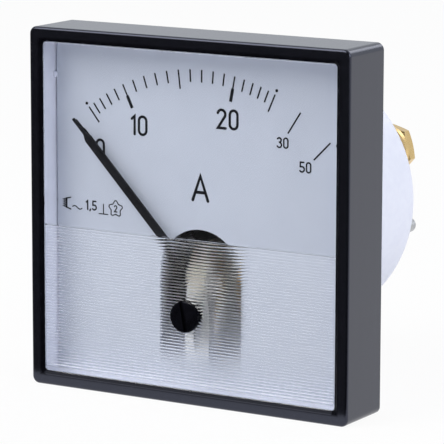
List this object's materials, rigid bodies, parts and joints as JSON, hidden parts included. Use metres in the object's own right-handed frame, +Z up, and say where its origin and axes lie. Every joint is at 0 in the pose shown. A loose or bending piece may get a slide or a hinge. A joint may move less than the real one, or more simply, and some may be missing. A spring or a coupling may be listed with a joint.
{
  "type": "analog panel meter",
  "caption": "Square moving-iron panel ammeter: clear window with a ribbed lower part, pointer over a curved scale, zero adjuster, round barrel and rear terminals.",
  "frame": {"origin": "on the barrel's axis, in the plane where the bezel's rear edge rests on the front of the panel", "axes": "+Y along the barrel's axis into the panel, +Z up, +X to the right for someone reading the meter"},
  "size_m": [0.072, 0.0553, 0.072],
  "materials": {
    "black_plastic": "semi-gloss moulded black",
    "clear_plastic": "clear moulded plastic, polished above and ribbed below",
    "white_plastic": "satin moulded white",
    "dial_enamel": "matte pale enamel",
    "dial_ink": "printed black ink",
    "pointer_paint": "matte black paint on aluminium sheet",
    "bright_steel": "nickel-plated steel",
    "soft_iron": "grey annealed iron",
    "brass": "turned brass",
    "spring_bronze": "phosphor bronze strip",
    "copper": "bare copper strip",
    "black_moulding": "matte moulded black",
    "bobbin_nylon": "natural nylon",
    "vane_aluminium": "thin aluminium sheet"
  },
  "bodies": {
    "case": {"bezel_frame": "black_plastic", "window": "clear_plastic", "barrel_case": "white_plastic", "dial_plate": "dial_enamel", "scale_marks": "dial_ink", "front_bridge": "bright_steel", "rear_bridge": "bright_steel", "bridge_screws": "bright_steel", "base_screws": "bright_steel", "fixing_studs": "bright_steel", "fixed_vane": "soft_iron", "terminal_nuts": "brass", "terminal_studs": "brass", "terminal_washers": "brass", "front_bearing": "brass", "rear_bearing": "brass", "coil_winding": "copper", "movement_base": "black_moulding", "damping_cover": "black_moulding", "coil_bobbin": "bobbin_nylon"},
    "zero_adjuster": {"zero_adjuster": "black_plastic"},
    "zero_lever": {"zero_lever": "bright_steel", "hairspring": "spring_bronze"},
    "movement": {"pointer": "pointer_paint", "pointer_hub": "brass", "spindle": "bright_steel", "balance_arms": "bright_steel", "balance_weights": "brass", "damping_vane": "vane_aluminium", "moving_vane": "soft_iron", "spring_collet": "brass"}
  },
  "joints": [
    {"name": "adjuster_turn", "type": "hinge", "parent": "case", "child": "zero_adjuster", "pos_m": [0, -0.012, -0.0185], "axis": [0, 1, 0], "range_deg": [-60, 60]},
    {"name": "lever_swing", "type": "hinge", "parent": "case", "child": "zero_lever", "pos_m": [0, -0.0078, -0.01154], "axis": [0, 1, 0], "range_deg": [-4.4, 4.4]},
    {"name": "pointer_turn", "type": "hinge", "parent": "zero_lever", "child": "movement", "pos_m": [0, 0, -0.01154], "axis": [0, 1, 0], "range_deg": [-2, 91], "stiffness_Nm_per_rad": 0.0002, "deforming": ["hairspring"]}
  ],
  "couplings": [
    {"joint": "lever_swing", "follows": "adjuster_turn", "ratio": 0.072}
  ]
}
